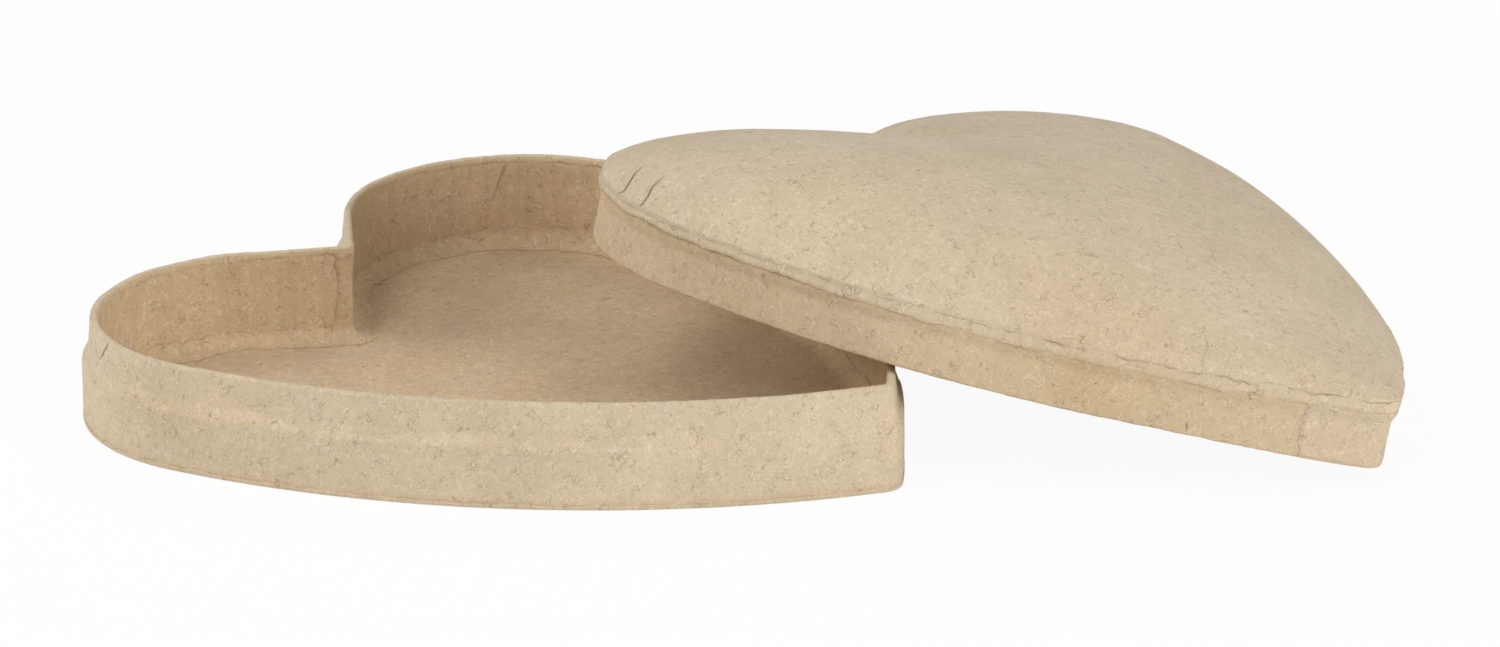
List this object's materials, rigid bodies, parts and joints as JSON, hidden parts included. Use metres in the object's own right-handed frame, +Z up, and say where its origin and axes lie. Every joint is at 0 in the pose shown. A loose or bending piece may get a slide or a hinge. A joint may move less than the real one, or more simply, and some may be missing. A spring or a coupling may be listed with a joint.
{
  "type": "heart-shaped papier-mache box",
  "caption": "Heart-shaped papier-mache keepsake box: a flat tray with a stepped collar, and a loose domed lid that leans on its rim and lifts off.",
  "frame": {"origin": "middle of the tray's underside, on the heart's centre line, where the box stands", "axes": "+Z up, +Y along the centre line from the tip to the cleft, +X across the lobes"},
  "size_m": [0.3711, 0.3837, 0.0853],
  "materials": {
    "kraft_paper": "matte, flecked",
    "kraft_lining": "matte, flecked",
    "chipboard": "matte",
    "pulp": "matte"
  },
  "bodies": {
    "base": {"base_underside_sheet": "kraft_paper", "base_bottom_board": "chipboard", "base_inner_wall": "chipboard", "base_outer_wall": "chipboard", "base_outer_wrap": "kraft_paper", "base_wall_lining": "kraft_lining", "base_floor_lining": "kraft_lining", "base_corner_strip": "kraft_lining", "base_seam_strip": "kraft_lining"},
    "lid": {"lid_skirt": "chipboard", "lid_skirt_wrap": "kraft_paper", "lid_skirt_lining": "kraft_lining", "lid_tip_patch": "kraft_paper", "lid_band": "chipboard", "lid_band_wrap": "kraft_paper", "lid_dome_shell": "pulp", "lid_dome_cover": "kraft_paper", "lid_dome_lining": "kraft_lining"}
  },
  "joints": [
    {"name": "lid_lift", "type": "slide", "parent": "base", "child": "lid", "axis": [0, 0, 1], "range_m": [0, 0.12]}
  ]
}
